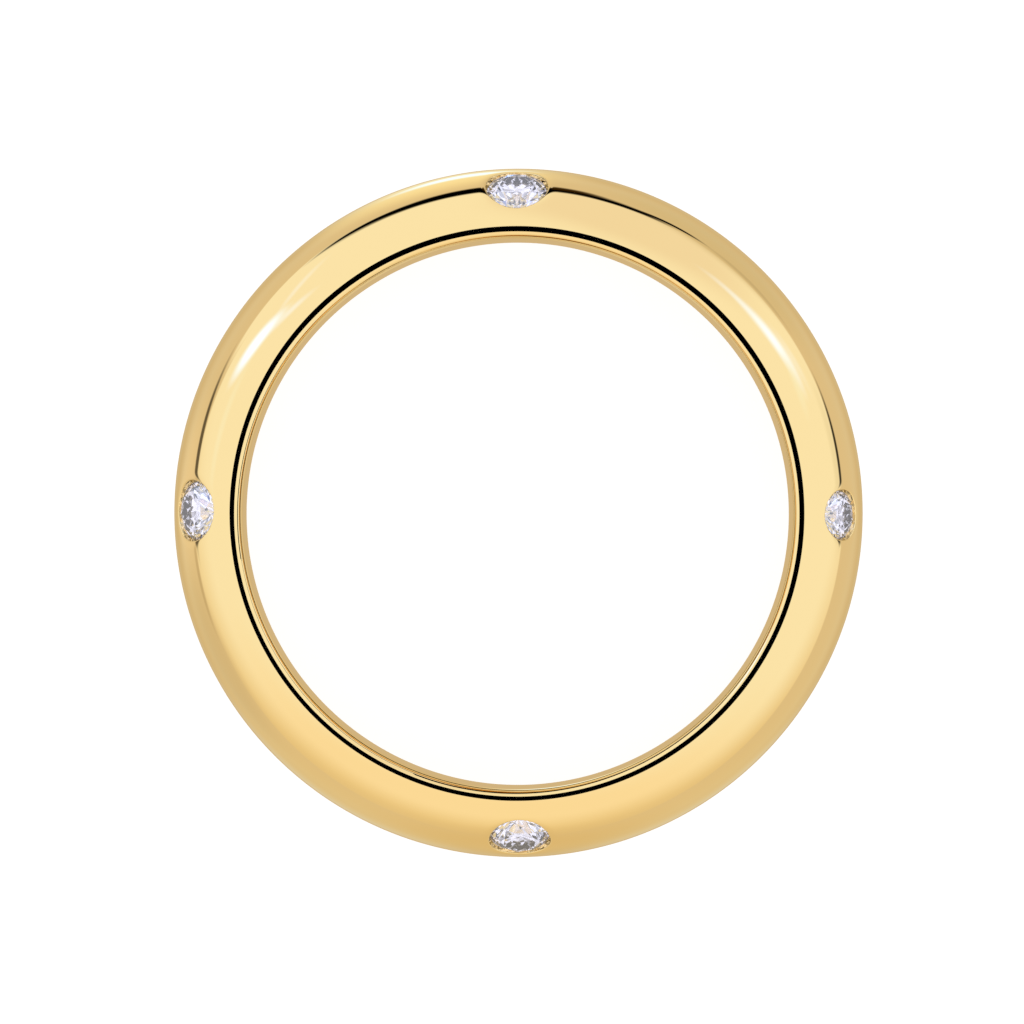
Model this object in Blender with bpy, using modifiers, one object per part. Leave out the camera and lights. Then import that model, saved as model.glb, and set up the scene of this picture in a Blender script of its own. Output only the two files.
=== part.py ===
"""A domed finger ring with four round brilliants set flush in one shoulder.

The ring lies on its side: its axis is +Z, and the lower side edge is at z = 0.
Lengths are in metres, written as millimetres times MM, and angles in degrees.
"""

import math
from typing import NamedTuple

import bmesh
import bpy

MM = 0.001

# The band's section
BORE_RADIUS = 8.65 * MM
EDGE_ROUND = 0.22 * MM
SHOULDER_RADIUS = 8.98 * MM
OUTER_RADIUS = 10.90 * MM
HALF_WIDTH = 2.60 * MM

# The round brilliant, in shares of its radius and degrees
TABLE_SHARE = 0.57
STAR_SHARE = 0.50
LOWER_HALF_SHARE = 0.77
GIRDLE_SHARE = 0.03
CROWN_DEG = 34.5
PAVILION_DEG = 40.8
MAINS = 8

# The seat round a stone
TABLE_BELOW_DOME = 0.01 * MM
CLEARANCE = 0.02 * MM
LIP_OVER_GIRDLE = 0.015 * MM
LIP_HEIGHT = 0.02 * MM
BRIGHT_CUT_DEG = 17.0
MOUTH_HEIGHT = 0.80 * MM
PILOT_SHARE = 0.60
PILOT_BELOW_CULET = 0.10 * MM
DRILL_POINT_DEG = 31.0

# The finishes
GOLD_COLOUR = (0.97, 0.76, 0.40)
GOLD_ROUGHNESS = 0.06
STONE_COLOUR = (1.0, 1.0, 1.0)
STONE_IOR = 2.65

# How finely the round shapes are divided
RING_STEPS = 96
DOME_STEPS = 22
CORNER_STEPS = 3
SEAT_STEPS = 32
SMOOTH_DEG = 20.0
MERGE = 1e-7
SAME_PLANE_DEG = 0.2


class Setting(NamedTuple):
    """One stone and its seat.

    clock_deg goes round the ring from +X towards +Y, reach is where the seat's axis meets the
    dome, measured from the ring's axis, lean_deg tips that axis from +Z outwards, and turn_deg
    turns the facets round it.
    """

    name: str
    clock_deg: float
    reach: float
    lean_deg: float
    stone_radius: float
    turn_deg: float


SETTINGS = (
    Setting("stone_back", 90.3, 10.34 * MM, 52.5, 0.945 * MM, 0.0),
    Setting("stone_right", -0.35, 10.25 * MM, 52.0, 0.765 * MM, 9.0),
    Setting("stone_front", 270.2, 10.37 * MM, 55.0, 0.925 * MM, 16.0),
    Setting("stone_left", 179.6, 10.31 * MM, 52.5, 0.920 * MM, 31.0),
)


def clear_scene():
    for old in list(bpy.data.objects):
        bpy.data.objects.remove(old, do_unlink=True)


def new_collection(name):
    made = bpy.data.collections.new(name)
    bpy.context.scene.collection.children.link(made)
    return made


def new_material(name, colour, roughness, metallic):
    """A Principled material, and its shader."""
    made = bpy.data.materials.new(name)
    made.use_nodes = True
    shader = made.node_tree.nodes["Principled BSDF"]
    shader.inputs["Base Color"].default_value = (*colour, 1.0)
    shader.inputs["Roughness"].default_value = roughness
    shader.inputs["Metallic"].default_value = metallic
    return made, shader


def polished_gold():
    return new_material("polished_gold", GOLD_COLOUR, GOLD_ROUGHNESS, 1.0)[0]


def clear_stone(name):
    made, shader = new_material(name, STONE_COLOUR, 0.0, 0.0)
    shader.inputs["IOR"].default_value = STONE_IOR
    shader.inputs["Transmission Weight"].default_value = 1.0
    return made


def arc(centre, radii, first_deg, last_deg, steps):
    """Points (r, z) along a stretch of an ellipse, both ends included."""
    points = []
    for step in range(steps + 1):
        angle = math.radians(first_deg + (last_deg - first_deg) * step / steps)
        points.append((centre[0] + radii[0] * math.cos(angle), centre[1] + radii[1] * math.sin(angle)))
    return points


def band_profile():
    """The band's section: down the dome, across the lower edge, up the bore, across the upper edge."""
    rise = OUTER_RADIUS - SHOULDER_RADIUS
    corner = BORE_RADIUS + EDGE_ROUND
    low = EDGE_ROUND
    high = 2 * HALF_WIDTH - EDGE_ROUND
    round_radii = (EDGE_ROUND, EDGE_ROUND)
    return (
        arc((SHOULDER_RADIUS, HALF_WIDTH), (rise, HALF_WIDTH), 90, -90, DOME_STEPS)
        + arc((corner, low), round_radii, 270, 180, CORNER_STEPS)
        + arc((corner, high), round_radii, 180, 90, CORNER_STEPS)
    )


def crown_height(radius):
    """How far the table stands above the girdle's top edge."""
    return (1 - TABLE_SHARE) * radius * math.tan(math.radians(CROWN_DEG))


def pavilion_depth(radius):
    return radius * math.tan(math.radians(PAVILION_DEG))


def seat_profile(radius):
    """The seat's section, from the mouth above the dome down to the drill's point.

    The mouth narrows to a lip over the girdle, the pocket is undercut behind it, and the
    bearing runs beside the pavilion to a pilot hole that stays blind.
    """
    half_girdle = GIRDLE_SHARE * radius
    lip = radius - LIP_OVER_GIRDLE
    lip_z = half_girdle + LIP_HEIGHT
    mouth = lip + (MOUTH_HEIGHT - lip_z) * math.tan(math.radians(BRIGHT_CUT_DEG))
    pocket = radius + CLEARANCE
    pilot = PILOT_SHARE * radius
    bearing_z = -half_girdle - CLEARANCE
    pilot_z = bearing_z - (pocket - pilot) * math.tan(math.radians(PAVILION_DEG))
    floor_z = -half_girdle - pavilion_depth(radius) - PILOT_BELOW_CULET
    point_z = floor_z - pilot * math.tan(math.radians(DRILL_POINT_DEG))
    return [
        (0.0, MOUTH_HEIGHT),
        (mouth, MOUTH_HEIGHT),
        (lip, lip_z),
        (pocket, half_girdle),
        (pocket, bearing_z),
        (pilot, pilot_z),
        (pilot, floor_z),
        (0.0, point_z),
    ]


def turned(name, profile, closed, steps, collection):
    """An object with this (r, z) profile turned round its own Z axis."""
    shape = bmesh.new()
    points = [shape.verts.new((r, 0.0, z)) for r, z in profile]
    for first, second in zip(points, points[1:]):
        shape.edges.new((first, second))
    if closed:
        shape.edges.new((points[-1], points[0]))
    mesh = bpy.data.meshes.new(name)
    shape.to_mesh(mesh)
    shape.free()
    made = bpy.data.objects.new(name, mesh)
    collection.objects.link(made)
    screw = made.modifiers.new("turn", "SCREW")
    screw.axis = "Z"
    screw.steps = steps
    screw.render_steps = steps
    screw.use_merge_vertices = True
    screw.merge_threshold = MERGE
    screw.use_smooth_shade = True
    return made


def brilliant_points(radius, turn_deg):
    """The corners where a round brilliant's facets meet, with the girdle round z = 0.

    A main facet passes through its girdle corner and falls away at one angle, so every corner
    on it has height (radius - reach * cos(angle off the main)) * tan(main's angle).
    """
    half_step = 180 / MAINS
    spread = math.cos(math.radians(half_step))
    half_girdle = GIRDLE_SHARE * radius
    crown = math.tan(math.radians(CROWN_DEG))
    pavilion = math.tan(math.radians(PAVILION_DEG))
    table = TABLE_SHARE * radius
    table_side = table * spread
    star = table_side + STAR_SHARE * (radius - table_side)
    lower = (1 - LOWER_HALF_SHARE) * radius
    points = [(0.0, 0.0, -half_girdle - pavilion * radius)]
    for main in range(MAINS):
        on_main = turn_deg + 2 * half_step * main
        between = on_main + half_step
        points += [
            polar(table, on_main, half_girdle + crown * (radius - table)),
            polar(star, between, half_girdle + crown * (radius - star * spread)),
            polar(lower, between, -half_girdle - pavilion * (radius - lower * spread)),
        ]
        for angle in (on_main, between):
            points += [polar(radius, angle, half_girdle), polar(radius, angle, -half_girdle)]
    return points


def polar(radius, angle_deg, height):
    angle = math.radians(angle_deg)
    return (radius * math.cos(angle), radius * math.sin(angle), height)


def brilliant_mesh(name, radius, turn_deg):
    """The stone as the hull of its corners, with each flat facet one face."""
    shape = bmesh.new()
    for point in brilliant_points(1.0, turn_deg):
        shape.verts.new(point)
    bmesh.ops.convex_hull(shape, input=shape.verts)
    flat = math.radians(SAME_PLANE_DEG)
    bmesh.ops.dissolve_limit(shape, angle_limit=flat, verts=shape.verts, edges=shape.edges)
    bmesh.ops.recalc_face_normals(shape, faces=shape.faces)
    bmesh.ops.scale(shape, vec=(radius, radius, radius), verts=shape.verts)
    mesh = bpy.data.meshes.new(name)
    shape.to_mesh(mesh)
    shape.free()
    return mesh


def place(made, setting):
    """Puts an object's own Z axis on the seat's axis, with its origin at the girdle."""
    share = (setting.reach - SHOULDER_RADIUS) / (OUTER_RADIUS - SHOULDER_RADIUS)
    height = HALF_WIDTH * (1 + math.sqrt(1 - share * share))
    depth = crown_height(setting.stone_radius) + GIRDLE_SHARE * setting.stone_radius + TABLE_BELOW_DOME
    clock = math.radians(setting.clock_deg)
    lean = math.radians(setting.lean_deg)
    reach = setting.reach - depth * math.sin(lean)
    made.location = (reach * math.cos(clock), reach * math.sin(clock), height - depth * math.cos(lean))
    made.rotation_euler = (0.0, lean, clock)


def build_seat_cutter(setting, cutters):
    profile = seat_profile(setting.stone_radius)
    made = turned(setting.name.replace("stone", "seat"), profile, False, SEAT_STEPS, cutters)
    place(made, setting)
    made.display_type = "WIRE"
    made.hide_render = True
    return made


def build_stone(setting, collection):
    mesh = brilliant_mesh(setting.name, setting.stone_radius, setting.turn_deg)
    mesh.materials.append(clear_stone(setting.name))
    made = bpy.data.objects.new(setting.name, mesh)
    collection.objects.link(made)
    place(made, setting)
    return made


def build_band(collection, cutters):
    made = turned("band", band_profile(), True, RING_STEPS, collection)
    made.data.materials.append(polished_gold())
    for cutter in cutters:
        cut = made.modifiers.new(cutter.name, "BOOLEAN")
        cut.operation = "DIFFERENCE"
        cut.solver = "EXACT"
        cut.object = cutter
    graph = bpy.context.evaluated_depsgraph_get()
    cut_mesh = bpy.data.meshes.new_from_object(made.evaluated_get(graph))
    made.modifiers.clear()
    made.data = cut_mesh
    made.data.shade_smooth()
    made.data.set_sharp_from_angle(angle=math.radians(SMOOTH_DEG))
    return made


def main():
    clear_scene()
    ring = new_collection("moissanite_ring")
    cutters = new_collection("cutters")
    seats = [build_seat_cutter(setting, cutters) for setting in SETTINGS]
    build_band(ring, seats)
    for setting in SETTINGS:
        build_stone(setting, ring)


main()
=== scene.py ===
"""The looks of a domed gold band with four round brilliants set flush in its shoulder.

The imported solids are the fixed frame. The band's section and the places and sizes of the stones
are read from them, and what they don't hold is named below, in millimetres times MM or in degrees.
Every new mesh is a surface worked out as whole numpy arrays.
"""

import logging
import math
from dataclasses import dataclass, field
from enum import Enum, IntEnum, auto

import bpy
import numpy as np
from numpy.typing import NDArray
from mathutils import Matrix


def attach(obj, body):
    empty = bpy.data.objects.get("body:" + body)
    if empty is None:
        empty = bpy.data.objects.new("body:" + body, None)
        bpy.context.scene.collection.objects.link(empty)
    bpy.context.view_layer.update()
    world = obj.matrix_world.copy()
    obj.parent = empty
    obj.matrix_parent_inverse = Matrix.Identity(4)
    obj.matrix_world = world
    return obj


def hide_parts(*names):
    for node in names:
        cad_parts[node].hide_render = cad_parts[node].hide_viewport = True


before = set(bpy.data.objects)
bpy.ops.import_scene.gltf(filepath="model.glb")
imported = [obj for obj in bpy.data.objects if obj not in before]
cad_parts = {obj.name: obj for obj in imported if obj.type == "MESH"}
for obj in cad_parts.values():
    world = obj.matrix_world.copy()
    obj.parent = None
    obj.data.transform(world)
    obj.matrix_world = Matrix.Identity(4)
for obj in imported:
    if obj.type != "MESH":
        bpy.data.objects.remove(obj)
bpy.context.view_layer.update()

MM = 0.001
BODY = "root"

# How a solid's parts are told: by depth under its top, by the cosine between the normals of one
# facet, by the decimals that two meeting corners share, and by a share of the stone's radius
ON_FACE = 0.001 * MM
SAME_WAY = 0.9998
SAME_PLACE_DECIMALS = 8
ON_GIRDLE = 0.995

# Noise crowds round a half, so these values count as its lowest and highest
NOISE_ENDS = (0.3, 0.7)

Points = NDArray[np.float64]
Numbers = NDArray[np.int64]
Colour = tuple[float, float, float]

DARK: Colour = (0.0, 0.0, 0.0)

log = logging.getLogger("ring")


class Slot(Enum):
    """The record's material slots."""

    GOLD = "gold"
    STONE = "stone"


class Finish(IntEnum):
    """Which of a piece's two materials a face has."""

    POLISHED = 0
    ROUGH = 1


def node_corners(name: str) -> Points:
    """The corners of a solid in the frame.

    Args:
        name: the node's name.

    Returns:
        An array of (x, y, z), in metres.
    """
    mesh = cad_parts[name].data
    corners = np.empty(3 * len(mesh.vertices))
    mesh.vertices.foreach_get("co", corners)
    return corners.reshape(-1, 3)


def node_triangles(name: str) -> Points:
    """The triangles of a solid in the frame.

    Args:
        name: the node's name.

    Returns:
        An array of shape (triangles, 3 corners, 3).
    """
    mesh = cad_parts[name].data
    mesh.calc_loop_triangles()
    numbers = np.empty(3 * len(mesh.loop_triangles), dtype=np.int32)
    mesh.loop_triangles.foreach_get("vertices", numbers)
    return node_corners(name)[numbers].reshape(-1, 3, 3)


def unit(vectors: Points) -> Points:
    """The same directions with length one."""
    return vectors / np.linalg.norm(vectors, axis=-1, keepdims=True)


def slope(deg: float) -> float:
    """The slope of a line at this angle: its tangent."""
    return math.tan(math.radians(deg))


def from_axis(points: Points) -> Points:
    """The points' distances from the ring's axis."""
    return np.hypot(points[..., 0], points[..., 1])


def rings_to_quads(numbers: Numbers) -> Numbers:
    """The four-sided faces between neighbours on a grid of corner numbers.

    Args:
        numbers: corner numbers, of shape (rings, steps).

    Returns:
        Faces of shape (rings - 1, steps - 1, 4), each going one step on, one ring in, one step back.
    """
    here, on = numbers[:-1, :-1], numbers[:-1, 1:]
    inward, both = numbers[1:, :-1], numbers[1:, 1:]
    return np.stack([here, on, both, inward], axis=-1)


def closed(numbers: Numbers, axis: int) -> Numbers:
    """The grid with its first row or column repeated at its end, so that the last one meets it."""
    return np.concatenate([numbers, np.take(numbers, [0], axis=axis)], axis=axis)


@dataclass
class MeshParts:
    """Surfaces that share one list of corners and become one mesh."""

    corners: list[Points] = field(default_factory=list)
    faces: list[tuple[Numbers, Finish]] = field(default_factory=list)
    count: int = 0

    def add_corners(self, points: Points) -> Numbers:
        """Adds points and numbers them.

        Args:
            points: an array whose last axis is (x, y, z).

        Returns:
            The new corners' numbers, in the array's own shape.
        """
        numbers = self.count + np.arange(points[..., 0].size).reshape(points.shape[:-1])
        self.corners.append(points.reshape(-1, 3))
        self.count += numbers.size
        return numbers

    def add_faces(self, faces: Numbers, finish: Finish = Finish.POLISHED) -> None:
        """Adds faces whose last axis lists each face's corner numbers."""
        self.faces.append((faces.reshape(-1, faces.shape[-1]), finish))

    def build(self, name: str, sharp_deg: float | None) -> bpy.types.Object:
        """Makes the object, at the origin, without the corners that no face uses.

        Args:
            name: the object's name.
            sharp_deg: edges that turn further than this stay sharp, or None for flat facets.

        Returns:
            The object, linked to the scene.
        """
        loops = np.concatenate([faces.ravel() for faces, _ in self.faces])
        sizes = np.concatenate([np.full(len(faces), faces.shape[1]) for faces, _ in self.faces])
        finishes = np.concatenate([np.full(len(faces), int(finish)) for faces, finish in self.faces])
        used, loops = np.unique(loops, return_inverse=True)
        points = np.concatenate(self.corners)[used]
        mesh = bpy.data.meshes.new(name)
        mesh.vertices.add(len(points))
        mesh.vertices.foreach_set("co", points.ravel())
        mesh.loops.add(len(loops))
        mesh.loops.foreach_set("vertex_index", loops.ravel())
        mesh.polygons.add(len(sizes))
        mesh.polygons.foreach_set("loop_start", np.cumsum(sizes) - sizes)
        mesh.polygons.foreach_set("material_index", finishes)
        mesh.update(calc_edges=True)
        mesh.validate()
        if sharp_deg is None:
            mesh.shade_flat()
        else:
            mesh.shade_smooth()
            mesh.set_sharp_from_angle(angle=math.radians(sharp_deg))
        made = bpy.data.objects.new(name, mesh)
        bpy.context.scene.collection.objects.link(made)
        return made


def place_piece(piece: bpy.types.Object, slot: Slot, *nodes: str) -> None:
    """Gives a piece its body, and hides the solids that it stands for.

    Args:
        piece: the finished object.
        slot: the record's slot; not used.
        nodes: the CAD nodes that it replaces.
    """
    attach(piece, BODY)
    if nodes:
        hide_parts(*nodes)
    log.info("%s: %d corners, %d faces", piece.name, len(piece.data.vertices), len(piece.data.polygons))


class NodeTree:
    """A shader tree under construction."""

    def __init__(self, tree: bpy.types.NodeTree) -> None:
        """Keeps the tree."""
        self.tree = tree

    def add(self, kind: str, **settings: object) -> bpy.types.Node:
        """Adds a node and sets its properties.

        Args:
            kind: the node's type.
            settings: property names and values.

        Returns:
            The node.
        """
        node = self.tree.nodes.new(kind)
        for name, value in settings.items():
            setattr(node, name, value)
        return node

    def feed(self, socket: bpy.types.NodeSocket, value: object) -> None:
        """Links an output to the socket, or sets the socket's own value.

        Args:
            socket: the input.
            value: an output, or a constant.
        """
        if isinstance(value, bpy.types.NodeSocket):
            self.tree.links.new(value, socket)
        else:
            socket.default_value = value

    def maths(self, operation: str, *values: object) -> bpy.types.NodeSocket:
        """A Math node on up to three values.

        Args:
            operation: the node's operation.
            values: numbers or outputs, in the order of its sockets.

        Returns:
            Its output.
        """
        node = self.add("ShaderNodeMath", operation=operation)
        for socket, value in zip(node.inputs, values):
            self.feed(socket, value)
        return node.outputs[0]

    def hypotenuse(self, first: object, second: object) -> bpy.types.NodeSocket:
        """The square root of first^2 + second^2."""
        squares = [self.maths("MULTIPLY", side, side) for side in (first, second)]
        return self.maths("SQRT", self.maths("ADD", *squares))

    def ramp(
        self, value: object, low: float, high: float, start: float = 0.0, end: float = 1.0
    ) -> bpy.types.NodeSocket:
        """A smooth step: start below low, end above high, and 3t^2 - 2t^3 between.

        Args:
            value: the output to map.
            low: where the step begins.
            high: where it ends.
            start: the value below low.
            end: the value above high.

        Returns:
            The mapped output.
        """
        node = self.add("ShaderNodeMapRange", interpolation_type="SMOOTHSTEP")
        for socket, number in zip(node.inputs, (value, low, high, start, end)):
            self.feed(socket, number)
        return node.outputs[0]

    def blend(self, share: object, first: object, second: object) -> bpy.types.NodeSocket:
        """A mix of two colours: first where share is 0, second where it is 1.

        Args:
            share: a number or an output.
            first: a colour or an output.
            second: a colour or an output.

        Returns:
            The mixed colour.
        """
        node = self.add("ShaderNodeMix", data_type="RGBA")
        for socket, value in ((0, share), (6, first), (7, second)):
            self.feed(node.inputs[socket], (*value, 1.0) if isinstance(value, tuple) else value)
        return node.outputs[2]

    def place(self) -> bpy.types.NodeSocket:
        """The place on the object, in its own coordinates."""
        return self.add("ShaderNodeTexCoord").outputs["Object"]

    def split(self, place: bpy.types.NodeSocket) -> list[bpy.types.NodeSocket]:
        """The parts of a place or direction: east, north and up.

        Args:
            place: the output to take apart.

        Returns:
            Three outputs.
        """
        node = self.add("ShaderNodeSeparateXYZ")
        self.feed(node.inputs[0], place)
        return list(node.outputs)

    def noise(self, place: bpy.types.NodeSocket, size: float, detail: float = 2.0) -> bpy.types.NodeSocket:
        """Noise whose blotches are about this size.

        Args:
            place: the coordinates.
            size: the blotches' size.
            detail: how many finer layers it has.

        Returns:
            The noise, from 0 to 1.
        """
        node = self.add("ShaderNodeTexNoise")
        self.feed(node.inputs["Vector"], place)
        node.inputs["Scale"].default_value = 1 / size
        node.inputs["Detail"].default_value = detail
        return node.outputs[0]

    def grain(self, size: float, ends: tuple[float, float]) -> bpy.types.NodeSocket:
        """A fine grain all over the object, from the first of the ends to the second."""
        return self.ramp(self.noise(self.place(), size), *NOISE_ENDS, *ends)

    def bump(self, relief: bpy.types.NodeSocket, height: float) -> bpy.types.NodeSocket:
        """A normal that follows a relief.

        Args:
            relief: the relief, from 0 to 1.
            height: how high 1 stands.

        Returns:
            The normal.
        """
        node = self.add("ShaderNodeBump")
        node.inputs["Distance"].default_value = height
        self.feed(node.inputs["Height"], relief)
        return node.outputs[0]


def new_material(
    name: str, values: dict[str, object]
) -> tuple[bpy.types.Material, NodeTree, bpy.types.Node]:
    """Makes a material on the usual shader.

    Args:
        name: the material's name.
        values: numbers and colours for the shader's own sockets, by the sockets' names.

    Returns:
        The material, its tree and its shader.
    """
    made = bpy.data.materials.new(name)
    made.use_nodes = True
    shader = made.node_tree.nodes["Principled BSDF"]
    for socket, value in values.items():
        shader.inputs[socket].default_value = (*value, 1.0) if isinstance(value, tuple) else value
    return made, NodeTree(made.node_tree), shader


@dataclass(frozen=True)
class PolishedGold:
    """Yellow gold with a mirror polish, and the fine lines that a polishing wheel leaves round it."""

    name: str = "polished_gold"
    colour: Colour = (0.975, 0.71, 0.31)
    cloud_colour: Colour = (0.965, 0.70, 0.30)
    grazing_tint: Colour = (0.965, 0.995, 0.90)
    roughness: tuple[float, float] = (0.015, 0.040)
    line_pitch: float = 0.05 * MM
    line_detail: float = 3.0
    least_line: float = 0.4
    line_ends: tuple[float, float] = (0.1, 0.8)
    cloud_size: float = 4.0 * MM
    cloud_ends: tuple[float, float] = (0.35, 0.65)
    wave_size: float = 0.9 * MM
    wave_detail: float = 1.0
    wave_height: float = 0.0003 * MM

    def material(self) -> bpy.types.Material:
        """Makes the material.

        The lines are noise on (distance from the ring's axis, height), so they run round the
        band, and a slow cloud of noise lets them come and go.

        Returns:
            The material.
        """
        made, nodes, shader = new_material(self.name, {"Metallic": 1.0, "Specular Tint": self.grazing_tint})
        place = nodes.place()
        east, north, height = nodes.split(place)
        across = nodes.add("ShaderNodeCombineXYZ")
        nodes.feed(across.inputs[0], nodes.hypotenuse(east, north))
        nodes.feed(across.inputs[1], height)
        lines = nodes.noise(across.outputs[0], self.line_pitch, self.line_detail)
        clouds = nodes.noise(place, self.cloud_size)
        waves = nodes.noise(place, self.wave_size, self.wave_detail)
        wear = nodes.maths("MULTIPLY", lines, nodes.ramp(clouds, *self.cloud_ends, self.least_line))
        nodes.feed(shader.inputs["Roughness"], nodes.ramp(wear, *self.line_ends, *self.roughness))
        nodes.feed(shader.inputs["Base Color"], nodes.blend(clouds, self.colour, self.cloud_colour))
        nodes.feed(shader.inputs["Normal"], nodes.bump(waves, self.wave_height))
        return made


@dataclass(frozen=True)
class CutPocket:
    """The burr-cut metal under a stone.

    Light caught between stone and metal comes back after more reflections than a render follows,
    and the glow stands for it.
    """

    name: str = "cut_pocket"
    colour: Colour = (0.95, 0.80, 0.55)
    roughness: tuple[float, float] = (0.20, 0.35)
    grain: float = 0.02 * MM
    glow: Colour = (0.22, 0.21, 0.23)

    def material(self) -> bpy.types.Material:
        """Makes the material: gold whose roughness has a fine grain.

        Returns:
            The material.
        """
        made, nodes, shader = new_material(self.name, {
            "Base Color": self.colour,
            "Metallic": 1.0,
            "Emission Color": self.glow,
            "Emission Strength": 1.0,
        })
        nodes.feed(shader.inputs["Roughness"], nodes.grain(self.grain, self.roughness))
        return made


@dataclass(frozen=True)
class ClearStone:
    """Colourless moissanite, polished on every facet.

    Light that turns round inside for longer than a render follows comes back as a faint glow.
    """

    name: str = "clear_stone"
    colour: Colour = (1.0, 1.0, 1.0)
    glow: Colour = (0.006, 0.006, 0.008)
    refraction: float = 2.65
    polish_pitch: float = 0.012 * MM
    polish_height: float = 0.000004 * MM

    def material(self) -> bpy.types.Material:
        """Makes the material: clear, with the faintest polishing lines.

        Returns:
            The material.
        """
        made, nodes, shader = new_material(self.name, {
            "Base Color": self.colour,
            "Roughness": 0.0,
            "Metallic": 0.0,
            "IOR": self.refraction,
            "Transmission Weight": 1.0,
            "Emission Color": self.glow,
            "Emission Strength": 1.0,
        })
        lines = nodes.noise(nodes.place(), self.polish_pitch)
        nodes.feed(shader.inputs["Normal"], nodes.bump(lines, self.polish_height))
        return made


@dataclass(frozen=True)
class GroundGirdle:
    """The girdle's ground edge: the same clear stone with a frosted surface."""

    name: str = "ground_girdle"
    colour: Colour = (0.96, 0.96, 0.97)
    refraction: float = ClearStone.refraction
    roughness: tuple[float, float] = (0.30, 0.50)
    grain: float = 0.01 * MM

    def material(self) -> bpy.types.Material:
        """Makes the material: clear stone whose roughness has a fine grain.

        Returns:
            The material.
        """
        made, nodes, shader = new_material(self.name, {
            "Base Color": self.colour,
            "IOR": self.refraction,
            "Transmission Weight": 1.0,
        })
        nodes.feed(shader.inputs["Roughness"], nodes.grain(self.grain, self.roughness))
        return made


@dataclass(frozen=True)
class Section:
    """The band's section, measured on its solid.

    The outside is half an ellipse: reach = shoulder + rise * cos t, height = half + half * sin t,
    with t from 90 degrees at the upper side edge to -90 at the lower one.
    """

    bore: float
    edge: float
    shoulder: float
    outer: float
    height: float

    @classmethod
    def of_node(cls, name: str) -> "Section":
        """Measures the section.

        Args:
            name: the band's node.

        Returns:
            The section, whose side edge runs from edge to shoulder.
        """
        corners = node_corners(name)
        reach = from_axis(corners)
        top = corners[:, 2].max()
        flat = reach[corners[:, 2] > top - ON_FACE]
        return cls(reach.min(), flat.min(), flat.max(), np.abs(corners[:, :2]).max(), top)

    @property
    def half(self) -> float:
        """Half the band's width along the finger."""
        return self.height / 2

    @property
    def rise(self) -> float:
        """How far the dome stands out from the side edge."""
        return self.outer - self.shoulder

    def dome(self, clock: Points, t: Points) -> Points:
        """Points on the dome.

        Args:
            clock: clock angles round the ring, in radians.
            t: section angles, in radians.

        Returns:
            The points.
        """
        reach = self.shoulder + self.rise * np.cos(t)
        height = self.half * (1 + np.sin(t))
        return np.stack([reach * np.cos(clock), reach * np.sin(clock), height + 0 * clock], axis=-1)

    def shares(self, points: Points) -> tuple[Points, Points]:
        """How far out and how far up points lie, as shares of the ellipse's half axes."""
        return (from_axis(points) - self.shoulder) / self.rise, (points[..., 2] - self.half) / self.half

    def dome_angle(self, points: Points) -> Points:
        """The section angles of points on the dome."""
        out, up = self.shares(points)
        return np.arctan2(up, out)

    def dome_normal(self, points: Points) -> Points:
        """Outward normals on the dome: the gradient of (share out)^2 + (share up)^2.

        Args:
            points: points on the dome.

        Returns:
            The normals, with length one.
        """
        out, up = self.shares(points)
        outward = out / self.rise / from_axis(points)
        return unit(np.stack([outward * points[..., 0], outward * points[..., 1], up / self.half], axis=-1))

    def outside(self, points: Points) -> Points:
        """Below zero inside the dome's ellipse, zero on it and above zero outside."""
        out, up = self.shares(points)
        return out**2 + up**2 - 1


@dataclass(frozen=True)
class StonePlace:
    """Where a stone sits, measured on its solid.

    The axis runs out through the table, and side points from it to a corner of the table.
    """

    node: str
    centre: Points
    axis: Points
    side: Points
    radius: float

    @classmethod
    def of_node(cls, name: str) -> "StonePlace":
        """Measures a stone.

        The table is the largest flat facet: of all the triangles' normals, the one with the most
        area facing the same way wins. The girdle is what lies furthest from the axis.

        Args:
            name: the stone's node.

        Returns:
            Its place.
        """
        triangles = node_triangles(name)
        crossed = np.cross(triangles[:, 1] - triangles[:, 0], triangles[:, 2] - triangles[:, 0])
        area = np.linalg.norm(crossed, axis=1)
        alike = unit(crossed) @ unit(crossed).T > SAME_WAY
        on_table = alike[(alike @ area).argmax()]
        axis = unit(crossed[on_table].sum(axis=0))
        table = np.unique(np.round(triangles[on_table].reshape(-1, 3), SAME_PLACE_DECIMALS), axis=0)
        middle = table.mean(axis=0)
        corners = np.unique(np.round(triangles.reshape(-1, 3), SAME_PLACE_DECIMALS), axis=0)
        along = (corners - middle) @ axis
        off = np.linalg.norm(corners - middle - along[:, None] * axis, axis=1)
        girdle = off > off.max() * ON_GIRDLE
        centre = middle + along[girdle].mean() * axis
        return cls(name, centre, axis, unit(table[0] - middle), off[girdle].mean())

    @property
    def other(self) -> Points:
        """The direction square to both axis and side."""
        return np.cross(self.axis, self.side)

    @property
    def clock(self) -> float:
        """The stone's clock angle round the ring, in radians from 0 to a full turn."""
        return math.atan2(self.centre[1], self.centre[0]) % (2 * math.pi)

    def local(self, points: Points) -> tuple[Points, Points, Points]:
        """Points in the stone's own terms.

        Args:
            points: the points.

        Returns:
            Distances from the axis, angles round it from side, and heights above the girdle.
        """
        out = points - self.centre
        east, north, up = out @ self.side, out @ self.other, out @ self.axis
        return np.hypot(east, north), np.arctan2(north, east), up

    def world(self, reach: Points | float, angle: Points, height: Points | float) -> Points:
        """The inverse of local.

        Args:
            reach: distances from the axis.
            angle: angles round it.
            height: heights above the girdle.

        Returns:
            The points.
        """
        east = (reach * np.cos(angle))[..., None] * self.side
        north = (reach * np.sin(angle))[..., None] * self.other
        return self.centre + east + north + (height + 0 * angle)[..., None] * self.axis


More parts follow.
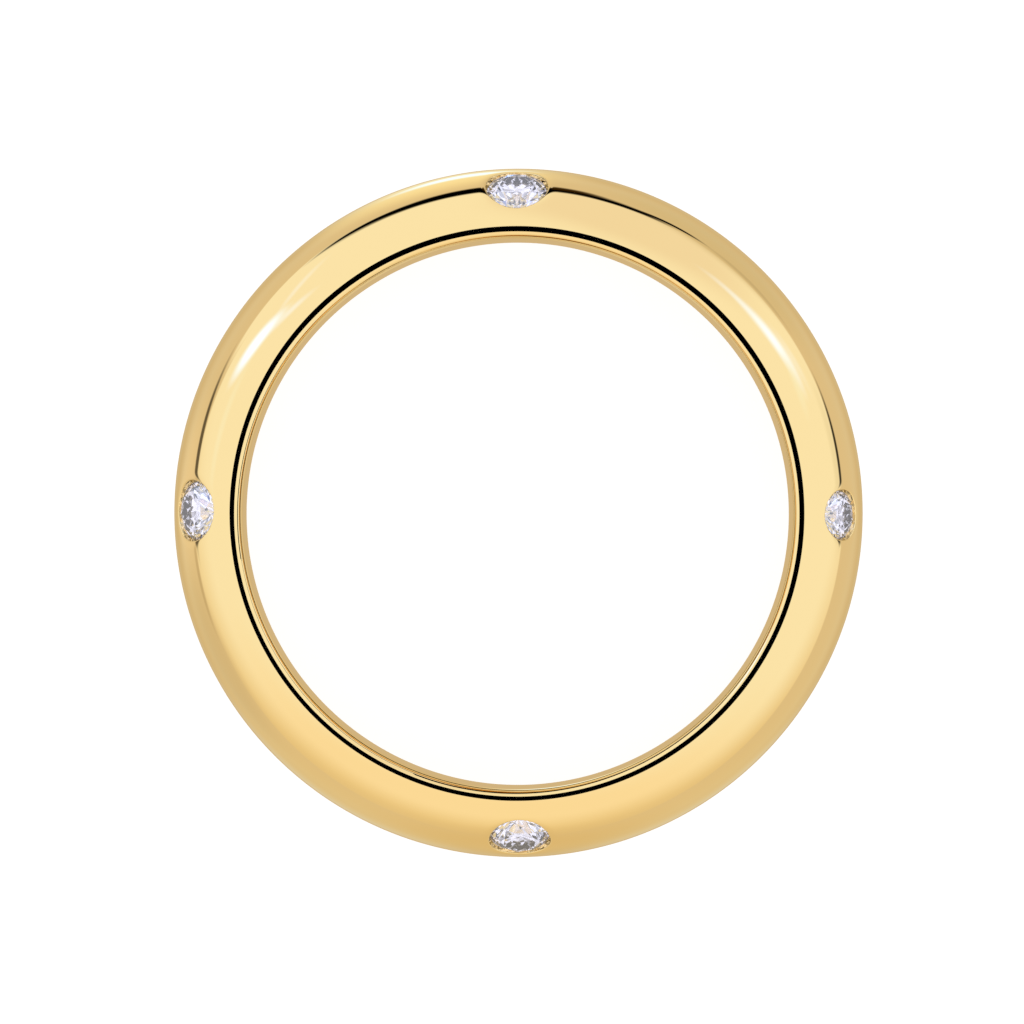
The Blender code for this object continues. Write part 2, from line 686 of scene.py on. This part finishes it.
@dataclass(frozen=True)
class Cut:
    """The proportions of a round brilliant, in shares of its radius and degrees."""

    table: float = 0.57
    star: float = 0.50
    lower_half: float = 0.77
    girdle: float = 0.03
    crown_deg: float = 34.5
    pavilion_deg: float = 40.8

    @property
    def crown_slope(self) -> float:
        """How steeply the kites fall."""
        return slope(self.crown_deg)

    @property
    def pavilion_slope(self) -> float:
        """How steeply the pavilion's mains fall."""
        return slope(self.pavilion_deg)


@dataclass
class Seat:
    """One blind seat with its bright-cut wall, and the burnished metal round it."""

    place: StonePlace
    section: Section
    cut: Cut
    lip_over_girdle: float = 0.015 * MM
    lip_height: float = 0.02 * MM
    wall_deg: float = 17.0
    highest: float = 0.80 * MM
    clearance: float = 0.02 * MM
    pilot_share: float = 0.60
    pilot_below_culet: float = 0.10 * MM
    drill_deg: float = 31.0
    dish_share: float = 0.15
    dish_reach: float = 0.36 * MM
    edge_round: float = 0.030 * MM
    wobble: float = 0.004 * MM
    wobbles: tuple[tuple[int, float, float], ...] = ((5, 1.0, 0.7), (11, 0.6, 2.1), (17, 0.4, 0.0))
    dome_rings: int = 26
    crowding: float = 1.5
    edge_rings: int = 6
    wall_rings: int = 5
    halvings: int = 40

    @property
    def lip(self) -> float:
        """The lip's radius."""
        return self.place.radius - self.lip_over_girdle

    @property
    def lip_z(self) -> float:
        """The lip's height above the middle of the girdle."""
        return self.cut.girdle * self.place.radius + self.lip_height

    def wall(self, angle: Points, height: Points) -> Points:
        """The bright-cut wall: a cone that opens at wall_deg above the lip, cut by hand.

        The radius is lip + (height - lip_z) * tan(wall_deg), plus wobble times the sum of
        size * sin(waves * angle + start) over the wobbles (waves, size, start).

        Args:
            angle: angles round the seat's axis.
            height: heights above the girdle.

        Returns:
            Points on the wall.
        """
        wobble = sum(size * np.sin(waves * angle + start) for waves, size, start in self.wobbles)
        reach = self.lip + (height - self.lip_z) * slope(self.wall_deg) + self.wobble * wobble
        return self.place.world(reach, angle, height)

    def rim(self, angle: Points) -> Points:
        """Where the wall meets the dome, found by halving the stretch of wall that crosses it.

        Args:
            angle: angles round the seat's axis.

        Returns:
            Points on the dome.
        """
        low = np.full_like(angle, self.lip_z)
        high = np.full_like(angle, self.highest)
        for _ in range(self.halvings):
            middle = (low + high) / 2
            is_out = self.section.outside(self.wall(angle, middle)) > 0
            low = np.where(is_out, low, middle)
            high = np.where(is_out, middle, high)
        return self.wall(angle, low)

    def sunk(self, points: Points) -> Points:
        """How far the metal is pressed in round the rim.

        That is dish_share * height above the lip * (1 - distance from the rim / dish_reach)^3.

        Args:
            points: points on the dome.

        Returns:
            The depths.
        """
        reach, _, height = self.place.local(points)
        from_rim = np.maximum(reach - self.lip - self.lip_height, 0.0)
        near = np.maximum(1 - from_rim / self.dish_reach, 0.0)
        return self.dish_share * np.maximum(height - self.lip_z, 0.0) * near**3

    def below_lip(self) -> Points:
        """The seat's section under the lip: pocket, bearing and blind pilot hole.

        Returns:
            Corners of shape (4, 2), each as (reach, height).
        """
        radius = self.place.radius
        half_girdle = self.cut.girdle * radius
        pocket = radius + self.clearance
        bearing = -half_girdle - self.clearance
        pilot = self.pilot_share * radius
        floor = -half_girdle - radius * self.cut.pavilion_slope - self.pilot_below_culet
        return np.array([
            (pocket, half_girdle),
            (pocket, bearing),
            (pilot, bearing - (pocket - pilot) * self.cut.pavilion_slope),
            (pilot, floor),
        ])

    def drill_point(self) -> Points:
        """The deepest point of the seat.

        Returns:
            The point.
        """
        pilot, floor = self.below_lip()[-1]
        depth = floor - pilot * slope(self.drill_deg)
        return self.place.centre + depth * self.place.axis


@dataclass(frozen=True)
class TurnedStep:
    """A fine level step turned into the inner corner, wide at the front left and nearly gone behind.

    Its outer end is at reach - shift * cos(clock - shift_deg), and its width is width * (least +
    (1 - least) * (1 + cos(clock - widest_deg)) / 2).
    """

    reach: float
    shift: float
    shift_deg: float
    width: float
    least: float = 0.05
    widest_deg: float = 240.0

    def ends(self, clock: Points) -> tuple[Points, Points]:
        """Where the step runs.

        Args:
            clock: clock angles, in radians.

        Returns:
            The reaches of its outer and inner ends.
        """
        outer = self.reach - self.shift * np.cos(clock - math.radians(self.shift_deg))
        swell = (1 + np.cos(clock - math.radians(self.widest_deg))) / 2
        return outer, outer - self.width * (self.least + (1 - self.least) * swell)


@dataclass
class Band:
    """The polished band: one surface carried round the ring, with a patch let in round each seat."""

    section: Section
    seats: list[Seat]
    finish: PolishedGold = field(default_factory=PolishedGold)
    pocket_finish: CutPocket = field(default_factory=CutPocket)
    clock_steps: int = 360
    dome_steps: int = 120
    round_steps: int = 4
    bore_steps: int = 8
    edge_steps: int = 2
    first_clock_deg: float = 45.0
    window_deg: float = 9.0
    window_t_deg: tuple[float, float] = (12.0, 78.0)
    corner_drop: float = 0.38 * MM
    steps: tuple[TurnedStep, ...] = (
        TurnedStep(8.758 * MM, 0.042 * MM, 45.0, 0.034 * MM, 0.03, 262.0),
        TurnedStep(8.698 * MM, 0.020 * MM, 0.0, 0.018 * MM),
    )
    shoulder_off: tuple[float, float] = (-0.066 * MM, -0.023 * MM)
    edge_off: tuple[float, float] = (-0.068 * MM, -0.042 * MM)
    bore_off: tuple[float, float] = (-0.024 * MM, -0.028 * MM)
    off_power: float = 5.0
    sharp_deg: float = 25.0

    def clocks(self) -> Points:
        """The clock angles of the grid's lines across the band."""
        return np.radians(self.first_clock_deg + 360 / self.clock_steps * np.arange(self.clock_steps))

    def dome_angles(self) -> Points:
        """The section angles of the dome's lines, from the upper side edge to the lower one."""
        return np.radians(np.linspace(90, -90, self.dome_steps + 1))

    def corner(self, clock: Points) -> tuple[Points, Points]:
        """The rounding from a side edge to the bore, with its fine steps.

        It is a quarter ellipse: reach = edge - (edge - bore) * sin(turn), drop = corner_drop *
        (1 - cos(turn)). At a step the reach goes on inwards with one drop, and then falls back
        to the ellipse.

        Args:
            clock: clock angles, in radians.

        Returns:
            Reaches, and drops below the side edge, of shape (points, clock angles).
        """
        wide = self.section.edge - self.section.bore
        ends = [end for step in self.steps for end in step.ends(clock)]
        turns = [np.arcsin((self.section.edge - end) / wide) for end in ends]
        turns = [0 * clock, *turns, 0 * clock + math.pi / 2]
        share = np.linspace(0, 1, self.round_steps + 1)[:, None]
        reaches: list[Points] = []
        drops: list[Points] = []
        for first, last in zip(turns[::2], turns[1::2]):
            turn = first + share * (last - first)
            reach = self.section.edge - wide * np.sin(turn)
            if drops:
                reaches.append(reach[:1])
                drops.append(drops[-1][-1:])
            reaches.append(reach)
            drops.append(self.corner_drop * (1 - np.cos(turn)))
        return np.concatenate(reaches), np.concatenate(drops)

    def inner_profile(self, clock: Points) -> tuple[Points, Points]:
        """The rest of the section: lower edge, bore and upper edge.

        Args:
            clock: clock angles, in radians.

        Returns:
            Reaches and heights of shape (clock angles, points), after the dome's last point and
            before its first one.
        """
        section = self.section
        reach, drop = self.corner(clock)
        flat = np.linspace(section.shoulder, section.edge, self.edge_steps + 1)[1:-1, None] + 0 * clock
        wall_ends = (self.corner_drop, section.height - self.corner_drop)
        wall = np.linspace(*wall_ends, self.bore_steps + 1)[1:-1, None] + 0 * clock
        reaches = [flat, reach, section.bore + 0 * wall, reach[::-1], flat[::-1]]
        heights = [0 * flat, drop, wall, section.height - drop[::-1], section.height + 0 * flat]
        return np.concatenate(reaches).T, np.concatenate(heights).T

    def off_centre(self, points: Points) -> Points:
        """Moves the bore and the side edges a little off the outside's centre.

        On the dome the shift is shoulder_off * ((outer - reach) / (outer - shoulder))^off_power.
        Inwards it runs in straight lines from there to edge_off and on to bore_off.

        Args:
            points: points on the band.

        Returns:
            The moved points.
        """
        reach = from_axis(points)
        section = self.section
        share = np.clip((section.outer - reach) / section.rise, 0, 1) ** self.off_power
        marks = (section.bore, section.edge, section.shoulder)
        offs = zip(self.bore_off, self.edge_off, self.shoulder_off)
        east, north = (share * np.interp(reach, marks, off) for off in offs)
        return points + np.stack([east, north, 0 * reach], axis=-1)

    def burnished(self, points: Points) -> Points:
        """The dome's points, pressed in along their normals round every seat."""
        depth = sum(seat.sunk(points) for seat in self.seats)
        return self.off_centre(points - depth[..., None] * self.section.dome_normal(points))

    def window(self, seat: Seat) -> tuple[slice, slice]:
        """The grid lines that bound the patch round a seat.

        Args:
            seat: the seat.

        Returns:
            Slices of the grid's faces, round the ring and across the dome.
        """
        step = 360 / self.clock_steps
        middle = (math.degrees(seat.place.clock) - self.first_clock_deg) % 360 / step
        half = self.window_deg / step
        t = np.degrees(self.dome_angles())
        rows = np.flatnonzero((t >= self.window_t_deg[0]) & (t <= self.window_t_deg[1]))
        return slice(round(middle - half), round(middle + half)), slice(int(rows[0]), int(rows[-1]))

    def loop(self, window: tuple[slice, slice]) -> tuple[Numbers, Numbers]:
        """The grid lines met going once round a window, down the dome first.

        Args:
            window: slices of the grid's faces.

        Returns:
            Line numbers round the ring and across the dome.
        """
        columns = np.arange(window[0].start, window[0].stop + 1)
        rows = np.arange(window[1].start, window[1].stop + 1)
        down, along = len(rows) - 1, len(columns) - 1
        column = np.concatenate([
            np.full(down, columns[0]), columns[:-1], np.full(down, columns[-1]), columns[:0:-1],
        ])
        row = np.concatenate([rows[:-1], np.full(along, rows[-1]), rows[:0:-1], np.full(along, rows[0])])
        return column, row

    def seat_rings(self, seat: Seat, clock: Points, t: Points) -> tuple[Points, Points]:
        """The rings of points from the window's edge down to the floor of the pilot hole.

        On the dome, clock and section angles go in a straight line from the window's edge to the
        rim, with the rings crowding towards it. The rim's edge is a curve (1-q)^2 A + 2q(1-q) B +
        q^2 C from the dome to the wall, and everything under the lip is turned round the seat's
        axis.

        Args:
            seat: the seat.
            clock: the clock angles of the window's edge, in radians.
            t: its section angles, in radians.

        Returns:
            The rings inside that edge down to the lip, and those under it, each of shape
            (rings, points, 3).
        """
        section, place = self.section, seat.place
        edge = section.dome(clock, t)
        _, angle, _ = place.local(edge)
        rim = seat.rim(angle)
        past_first = np.arctan2(rim[:, 1], rim[:, 0]) - clock[0]
        rim_clock = clock[0] + np.remainder(past_first + math.pi, 2 * math.pi) - math.pi
        rim_t = section.dome_angle(rim)
        last = 1 - seat.edge_round / np.linalg.norm(rim - edge, axis=1)
        share = last * (1 - (1 - np.linspace(0, 1, seat.dome_rings + 1)[:, None]) ** seat.crowding)
        dome = self.burnished(section.dome(clock + share * (rim_clock - clock), t + share * (rim_t - t)))
        sharp = self.burnished(rim)
        lip = seat.wall(angle, np.full_like(angle, seat.lip_z))
        length = np.linalg.norm(lip - sharp, axis=1, keepdims=True)
        under = sharp + (lip - sharp) * seat.edge_round / length
        q = np.linspace(0, 1, seat.edge_rings + 1)[1:, None, None]
        bead = (1 - q) ** 2 * dome[-1] + 2 * q * (1 - q) * sharp + q**2 * under
        down = np.linspace(0, 1, seat.wall_rings + 1)[1:, None, None]
        wall = under + down * (lip - under)
        turned = np.stack([place.world(reach, angle, height) for reach, height in seat.below_lip()])
        return np.concatenate([dome[1:], bead, wall]), turned

    def add_seat(self, parts: MeshParts, grid: Numbers, seat: Seat) -> None:
        """Fills the window round a seat, down to the drill's point.

        Args:
            parts: the band's mesh.
            grid: the corner numbers of the band's grid.
            seat: the seat.
        """
        column, row = self.loop(self.window(seat))
        polished, rough = self.seat_rings(seat, self.clocks()[column], self.dome_angles()[row])
        inside = parts.add_corners(np.concatenate([polished, rough]))
        rings = closed(np.concatenate([grid[column, row][None], inside]), 1)
        lip = len(polished)
        parts.add_faces(rings_to_quads(rings[:lip + 1]))
        parts.add_faces(rings_to_quads(rings[lip:]), Finish.ROUGH)
        point = parts.add_corners(seat.drill_point()[None])
        deepest = rings[-1]
        tip = np.stack([deepest[:-1], deepest[1:], np.full(len(column), point[0])], axis=-1)
        parts.add_faces(tip, Finish.ROUGH)

    def build(self) -> bpy.types.Object:
        """Makes the band.

        Returns:
            The finished piece.
        """
        clock = self.clocks()[:, None]
        dome = self.burnished(self.section.dome(clock, self.dome_angles()[None, :]))
        reach, height = self.inner_profile(self.clocks())
        inner = np.stack([reach * np.cos(clock), reach * np.sin(clock), height], axis=-1)
        parts = MeshParts()
        grid = parts.add_corners(np.concatenate([dome, self.off_centre(inner)], axis=1))
        faces = rings_to_quads(closed(closed(grid, 0), 1))
        kept = np.ones(faces.shape[:2], dtype=bool)
        for seat in self.seats:
            kept[self.window(seat)] = False
            self.add_seat(parts, grid, seat)
        parts.add_faces(faces[kept])
        made = parts.build("polished_band", self.sharp_deg)
        made.data.materials.append(self.finish.material())
        made.data.materials.append(self.pocket_finish.material())
        place_piece(made, Slot.GOLD, "band")
        return made


@dataclass
class Brilliant:
    """A round brilliant.

    It has a table, eight star facets, eight kites and sixteen halves over its girdle, and sixteen
    lower halves and eight pavilion mains under it. A main facet falls away from its girdle corner
    at one angle, so every corner on it has height (radius - reach * cos(angle off the main)) *
    slope. A half facet is the plane through two girdle corners and a star or lower corner, and
    its edge follows the round girdle.
    """

    place: StonePlace
    cut: Cut
    name: str
    mains: int = 8
    edge_steps: int = 6

    @property
    def half_step(self) -> float:
        """Half the angle between two mains."""
        return math.pi / self.mains

    def corner(self, reach: float, half_steps: Points, height: float) -> Points:
        """Corners at one reach and height, at these numbers of half steps round the stone."""
        return self.place.world(reach, half_steps * self.half_step, height)

    def girdle_edge(self, top: bool) -> Points:
        """Where the half facets cut the round girdle.

        The half facet's plane falls evenly outwards from the chord between its girdle corners. So
        the edge's height is half the girdle's, less fall * (radius * cos(angle off the facet's
        middle) - the chord's distance), and below it is mirrored.

        Args:
            top: whether it is the crown's edge or the pavilion's.

        Returns:
            Points of shape (halves, edge_steps, 3), each half without its last point.
        """
        radius = self.place.radius
        halves = 2 * self.mains
        part = np.arange(self.edge_steps) / self.edge_steps
        steps = np.arange(halves)[:, None] + part[None, :]
        off_middle = (part[None, :] - 0.5) * self.half_step + 0 * steps
        chord = radius * math.cos(self.half_step / 2)
        beyond = radius * np.cos(off_middle) - chord
        inner, rise = self.star_corner() if top else self.lower_corner()
        fall = rise / (chord - inner * math.cos(self.half_step / 2))
        height = self.cut.girdle * radius - beyond * fall
        return self.place.world(radius, steps * self.half_step, height if top else -height)

    def star_corner(self) -> tuple[float, float]:
        """The corners where star, kites and halves meet.

        Returns:
            Their reach, and their height over the girdle.
        """
        radius, spread = self.place.radius, math.cos(self.half_step)
        table_side = self.cut.table * radius * spread
        reach = table_side + self.cut.star * (radius - table_side)
        return reach, (radius - reach * spread) * self.cut.crown_slope

    def lower_corner(self) -> tuple[float, float]:
        """The corners where lower halves and mains meet.

        Returns:
            Their reach, and their depth under the girdle.
        """
        radius = self.place.radius
        reach = (1 - self.cut.lower_half) * radius
        return reach, (radius - reach * math.cos(self.half_step)) * self.cut.pavilion_slope

    def add_side(
        self, parts: MeshParts, edge: Numbers, middle: Numbers, inner: Numbers, top: bool
    ) -> None:
        """Adds the halves and mains of the crown or the pavilion.

        Args:
            parts: the stone's mesh.
            edge: the girdle edge's corner numbers, of shape (halves, edge_steps).
            middle: the star or lower corners, one for each main.
            inner: what the mains end at: the table's corners, or the culet.
            top: whether it is the crown.
        """
        order = slice(None) if top else slice(None, None, -1)
        ends = np.concatenate([edge, np.roll(edge, -1, axis=0)[:, :1]], axis=1)
        halves = np.concatenate([ends, np.repeat(middle, 2)[:, None]], axis=1)
        parts.add_faces(halves[:, order])
        mains = np.stack([edge[::2, 0], middle, inner, np.roll(middle, 1)], axis=-1)
        parts.add_faces(mains[:, order])

    def build(self, polish: ClearStone, girdle: GroundGirdle) -> bpy.types.Object:
        """Makes the stone.

        Args:
            polish: the facets' finish.
            girdle: the girdle's finish.

        Returns:
            The finished piece.
        """
        radius, cut = self.place.radius, self.cut
        half_girdle = cut.girdle * radius
        mains = 2.0 * np.arange(self.mains)
        parts = MeshParts()
        table_height = half_girdle + (1 - cut.table) * radius * cut.crown_slope
        table = parts.add_corners(self.corner(cut.table * radius, mains, table_height))
        star_reach, star_height = self.star_corner()
        star = parts.add_corners(self.corner(star_reach, mains + 1, half_girdle + star_height))
        lower_reach, lower_depth = self.lower_corner()
        lower = parts.add_corners(self.corner(lower_reach, mains + 1, -half_girdle - lower_depth))
        depth = half_girdle + radius * cut.pavilion_slope
        culet = parts.add_corners(self.place.centre[None] - depth * self.place.axis)
        above = parts.add_corners(self.girdle_edge(True))
        below = parts.add_corners(self.girdle_edge(False))
        parts.add_faces(table[None])
        parts.add_faces(np.stack([table, star, np.roll(table, -1)], axis=-1))
        self.add_side(parts, above, star, table, True)
        self.add_side(parts, below, lower, np.full(self.mains, culet[0]), False)
        rings = closed(np.stack([above.ravel(), below.ravel()])[::-1], 1)
        parts.add_faces(rings_to_quads(rings), Finish.ROUGH)
        made = parts.build(self.name, None)
        made.data.materials.append(polish.material())
        made.data.materials.append(girdle.material())
        place_piece(made, Slot.STONE, self.place.node)
        return made


class Shape(Enum):
    """How a card or lamp of the tent is bounded, by polar angle from overhead and clock angle."""

    OVAL = auto()
    RING = auto()


@dataclass(frozen=True)
class Panel:
    """A card, lamp or shaded stretch of the light tent.

    An oval is the ellipse ((clock - its clock) / half_clock)^2 + ((polar - its middle) /
    half_polar)^2 < 1, whose middle is polar + slant * (clock - its clock). A ring goes all the
    way round. softness widens the edge, as a share of the half sizes.
    """

    name: str
    light: Colour
    polar: float
    half_polar: float
    clock: float = 0.0
    half_clock: float = 180.0
    softness: float = 0.3
    share: float = 1.0
    slant: float = 0.0
    shape: Shape = Shape.OVAL


@dataclass(frozen=True)
class LightTent:
    """A pale photographic tent round the ring, as light by direction.

    Angles are in degrees, and a later panel hangs before the earlier ones. Mirror reflections see
    the panels, the stones' refracted rays see the folds of the cloth, and what is matt sees plain
    white. The folds are noise on the direction + fold_lean * (north - east), so that they are
    paler at the back left.
    """

    cloth: Colour = (1.0, 1.085, 1.26)
    backdrop: Colour = (1.0, 1.0, 1.0)
    soft_light: Colour = (1.15, 1.15, 1.15)
    fold_size: float = 0.35
    fold_light: Colour = (1.25, 1.25, 1.52)
    fold_shade: Colour = (0.36, 0.36, 0.44)
    fold_edge: tuple[float, float] = (0.36, 0.54)
    fold_lean: float = 0.03
    panels: tuple[Panel, ...] = (
        Panel("front ceiling", (1.0, 0.985, 0.98), 50, 60, 262, 50, 0.4),
        Panel("front wall", (0.85, 0.78, 0.64), 120, 52, 264, 85, 0.45),
        Panel("back right wall", (0.925, 0.95, 1.07), 65, 50, 68, 24, 0.4),
        Panel("right lamp", (1.05, 1.5, 3.2), 57, 8.0, 34, 7.5, 0.9, slant=-0.45),
        Panel("right lamp's back edge", (1.05, 1.5, 3.2), 52, 4.5, 44.5, 6, 0.9, 0.4, -0.3),
        Panel("right lamp's front edge", (1.05, 1.5, 3.2), 74, 5, 29.5, 5, 0.9, 0.2, -0.3),
        Panel("right lamp's glow", (1.0, 1.2, 1.6), 53, 7, 25, 5, 0.9, 0.6, 0.8),
        Panel("left lamp", (1.05, 1.7, 4.2), 69, 8.5, 147, 6, 0.85, slant=0.9),
        Panel("left lamp's back edge", (1.05, 1.5, 3.3), 77, 4, 134, 5, 0.9, 0.25, -1.2),
        Panel("left lamp's front edge", (1.05, 1.5, 3.3), 50, 5, 138.5, 4.5, 0.9, 0.4, 1.0),
        Panel("left lamp's glow", (1.0, 1.2, 1.6), 60, 5, 164, 11, 0.9, 0.5),
        Panel("table", (0.754, 0.718, 0.70), 180, 82, softness=0.025, shape=Shape.RING),
        Panel("back wall's foot", (1.0, 1.085, 1.26), 101, 6.5, 128, 24, 0.2),
        Panel("table's front", (0.775, 0.725, 0.65), 132, 40, 266, 66, 0.5),
        Panel("table's front middle", (0.745, 0.66, 0.52), 132, 40, 270, 20, 0.6),
        Panel("table's left", (0.84, 0.80, 0.79), 120, 20, 177, 13, 0.7),
        Panel("table's front left", (0.69, 0.65, 0.61), 118, 22, 207, 15, 0.6),
        Panel("table's back right", (0.69, 0.66, 0.62), 120, 24, 53, 20, 0.5),
        Panel("right rail", DARK, 104.2, 3.0, 45, 10, 0.5, 0.14),
        Panel("table's underside", (0.69, 0.575, 0.42), 180, 38, softness=0.35, shape=Shape.RING),
        Panel("front left glow", (0.775, 0.71, 0.62), 150, 16, 238, 22, 0.6),
        Panel("front right glow", (0.775, 0.71, 0.62), 150, 16, 303, 22, 0.6),
        Panel("back lamp", (1.02, 1.0, 0.88), 146, 26, 103, 17, 0.7),
        Panel("back lamp's rim", (1.02, 1.55, 2.9), 149, 5.5, 100, 9.5, 0.7, 0.85),
        Panel("back gap", DARK, 100.7, 6.5, 96, 25, 0.3),
        Panel("back gap's left end", DARK, 103.4, 3.3, 117, 11, 0.4, slant=0.1),
        Panel("back gap's dip", DARK, 98.5, 3.7, 72, 9, 0.4),
        Panel("back gap's shade", (0.04, 0.02, 0.0), 104.5, 3.5, 83, 7, 0.6, 0.9),
        Panel("back gap's right end", DARK, 102.9, 2.3, 62.5, 6.5, 0.4, slant=-0.3),
        Panel("card for the back stone", (0.78, 0.78, 0.85), 107, 1.2, 90.3, 1.2, 0.3),
        Panel("left gap", DARK, 101.7, 3.8, 169, 16, 0.4, 0.83, -0.38),
        Panel("left gap's front end", (0.4, 0.34, 0.26), 101.7, 3, 191, 9, 0.6, 0.4),
        Panel("right gap's shade", (0.5, 0.48, 0.4), 90, 7, 9, 12, 0.7, 0.2),
        Panel("right gap", DARK, 97.7, 2.9, 10, 12, 0.5, 0.95, 0.25),
        Panel("under the ring", (0.65, 0.47, 0.24), 180, 14, softness=0.5, shape=Shape.RING),
        Panel("lens", DARK, 0, 5.6, softness=0.04, shape=Shape.RING),
    )

    def mask(
        self, nodes: NodeTree, panel: Panel, polar: bpy.types.NodeSocket, clock: bpy.types.NodeSocket
    ) -> bpy.types.NodeSocket:
        """How much of a panel's light comes from a direction.

        Args:
            nodes: the world's tree.
            panel: the panel.
            polar: the direction's angle from overhead.
            clock: its clock angle.

        Returns:
            The panel's share, from 0 to 1.
        """
        low, high = 1 - panel.softness, 1 + panel.softness
        off_clock = nodes.maths("WRAP", nodes.maths("SUBTRACT", clock, panel.clock), 180.0, -180.0)
        across = nodes.maths("DIVIDE", nodes.maths("ABSOLUTE", off_clock), panel.half_clock)
        middle = nodes.maths("MULTIPLY_ADD", off_clock, panel.slant, panel.polar)
        off_polar = nodes.maths("SUBTRACT", polar, middle)
        down = nodes.maths("DIVIDE", nodes.maths("ABSOLUTE", off_polar), panel.half_polar)
        if panel.shape is Shape.RING:
            return nodes.ramp(down, low, high, panel.share, 0.0)
        return nodes.ramp(nodes.hypotenuse(across, down), low, high, panel.share, 0.0)

    def pitch(self) -> None:
        """Sets the tent up as the scene's world."""
        world = bpy.data.worlds.new("light_tent")
        world.use_nodes = True
        world.cycles.sampling_method = "NONE"
        bpy.context.scene.world = world
        nodes = NodeTree(world.node_tree)
        way = nodes.add("ShaderNodeTexCoord").outputs["Generated"]
        east, north, up = nodes.split(way)
        polar = nodes.maths("DEGREES", nodes.maths("ARCCOSINE", up))
        clock = nodes.maths("DEGREES", nodes.maths("ARCTAN2", north, east))
        light: object = self.cloth
        for panel in self.panels:
            light = nodes.blend(self.mask(nodes, panel, polar, clock), light, panel.light)
            light.node.label = panel.name
        back_left = nodes.maths("SUBTRACT", north, east)
        folds = nodes.maths("MULTIPLY_ADD", back_left, self.fold_lean, nodes.noise(way, self.fold_size))
        shade = nodes.ramp(folds, *self.fold_edge)
        through_stone = nodes.blend(shade, self.fold_shade, self.fold_light)
        path = nodes.add("ShaderNodeLightPath")
        light = nodes.blend(path.outputs["Is Transmission Ray"], light, through_stone)
        light = nodes.blend(path.outputs["Is Diffuse Ray"], light, self.soft_light)
        light = nodes.blend(path.outputs["Is Camera Ray"], light, self.backdrop)
        nodes.feed(world.node_tree.nodes["Background"].inputs["Color"], light)
        log.info("light tent: %d panels", len(self.panels))


@dataclass(frozen=True)
class PaleFloor:
    """The pale sheet that the ring lies on, lit from under as well as from above."""

    name: str = "pale_floor"
    half_size: float = 1.5
    colour: Colour = (0.25, 0.25, 0.26)
    glow: float = 0.84
    steps: int = 8

    def lay(self) -> None:
        """Lays the sheet: a flat grid of points at height 0."""
        line = np.linspace(-self.half_size, self.half_size, self.steps + 1)
        east, north = np.meshgrid(line, line, indexing="xy")
        parts = MeshParts()
        numbers = parts.add_corners(np.stack([east, north, 0 * east], axis=-1))
        parts.add_faces(rings_to_quads(numbers))
        sheet = parts.build(self.name, None)
        paper, _, _ = new_material("pale_paper", {
            "Base Color": self.colour,
            "Roughness": 1.0,
            "Specular IOR Level": 0.0,
            "Emission Color": (1.0, 1.0, 1.0),
            "Emission Strength": self.glow,
        })
        sheet.data.materials.append(paper)
        sheet.visible_glossy = False
        sheet.visible_transmission = False


@dataclass(frozen=True)
class OverheadCamera:
    """A long lens straight above the ring, set to the photograph's scale and framing."""

    distance: float = 300 * MM
    pixels_per_mm: float = 31.57
    frame_pixels: int = 1024
    sensor_mm: float = 36.0
    right_pixels: float = 6.5
    down_pixels: float = 0.9
    clip_shares: tuple[float, float] = (0.1, 10.0)

    def stand(self, height: float) -> None:
        """Sets the camera up.

        Args:
            height: the height of the ring's middle, at which the scale holds.
        """
        data = bpy.data.cameras.new("overhead")
        data.sensor_width = self.sensor_mm
        data.lens = self.pixels_per_mm * self.sensor_mm * self.distance / MM / self.frame_pixels
        data.clip_start, data.clip_end = (share * self.distance for share in self.clip_shares)
        camera = bpy.data.objects.new("overhead", data)
        scale = MM / self.pixels_per_mm
        camera.location = (-self.right_pixels * scale, self.down_pixels * scale, height + self.distance)
        bpy.context.scene.collection.objects.link(camera)
        bpy.context.scene.camera = camera
        log.info("camera: lens %.1f mm", data.lens)


def main() -> None:
    """Builds the ring, then the floor, the light and the camera."""
    logging.basicConfig(level=logging.INFO, format="%(name)s: %(message)s")
    section = Section.of_node("band")
    places = [StonePlace.of_node(name) for name in sorted(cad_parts) if name != "band"]
    cut = Cut()
    Band(section, [Seat(place, section, cut) for place in places]).build()
    polish, girdle = ClearStone(), GroundGirdle()
    for place in places:
        Brilliant(place, cut, place.node.replace("stone", "brilliant")).build(polish, girdle)
    PaleFloor().lay()
    LightTent().pitch()
    OverheadCamera().stand(section.half)
    bpy.context.scene.view_settings.view_transform = "Standard"


if __name__ == "__main__":
    main()
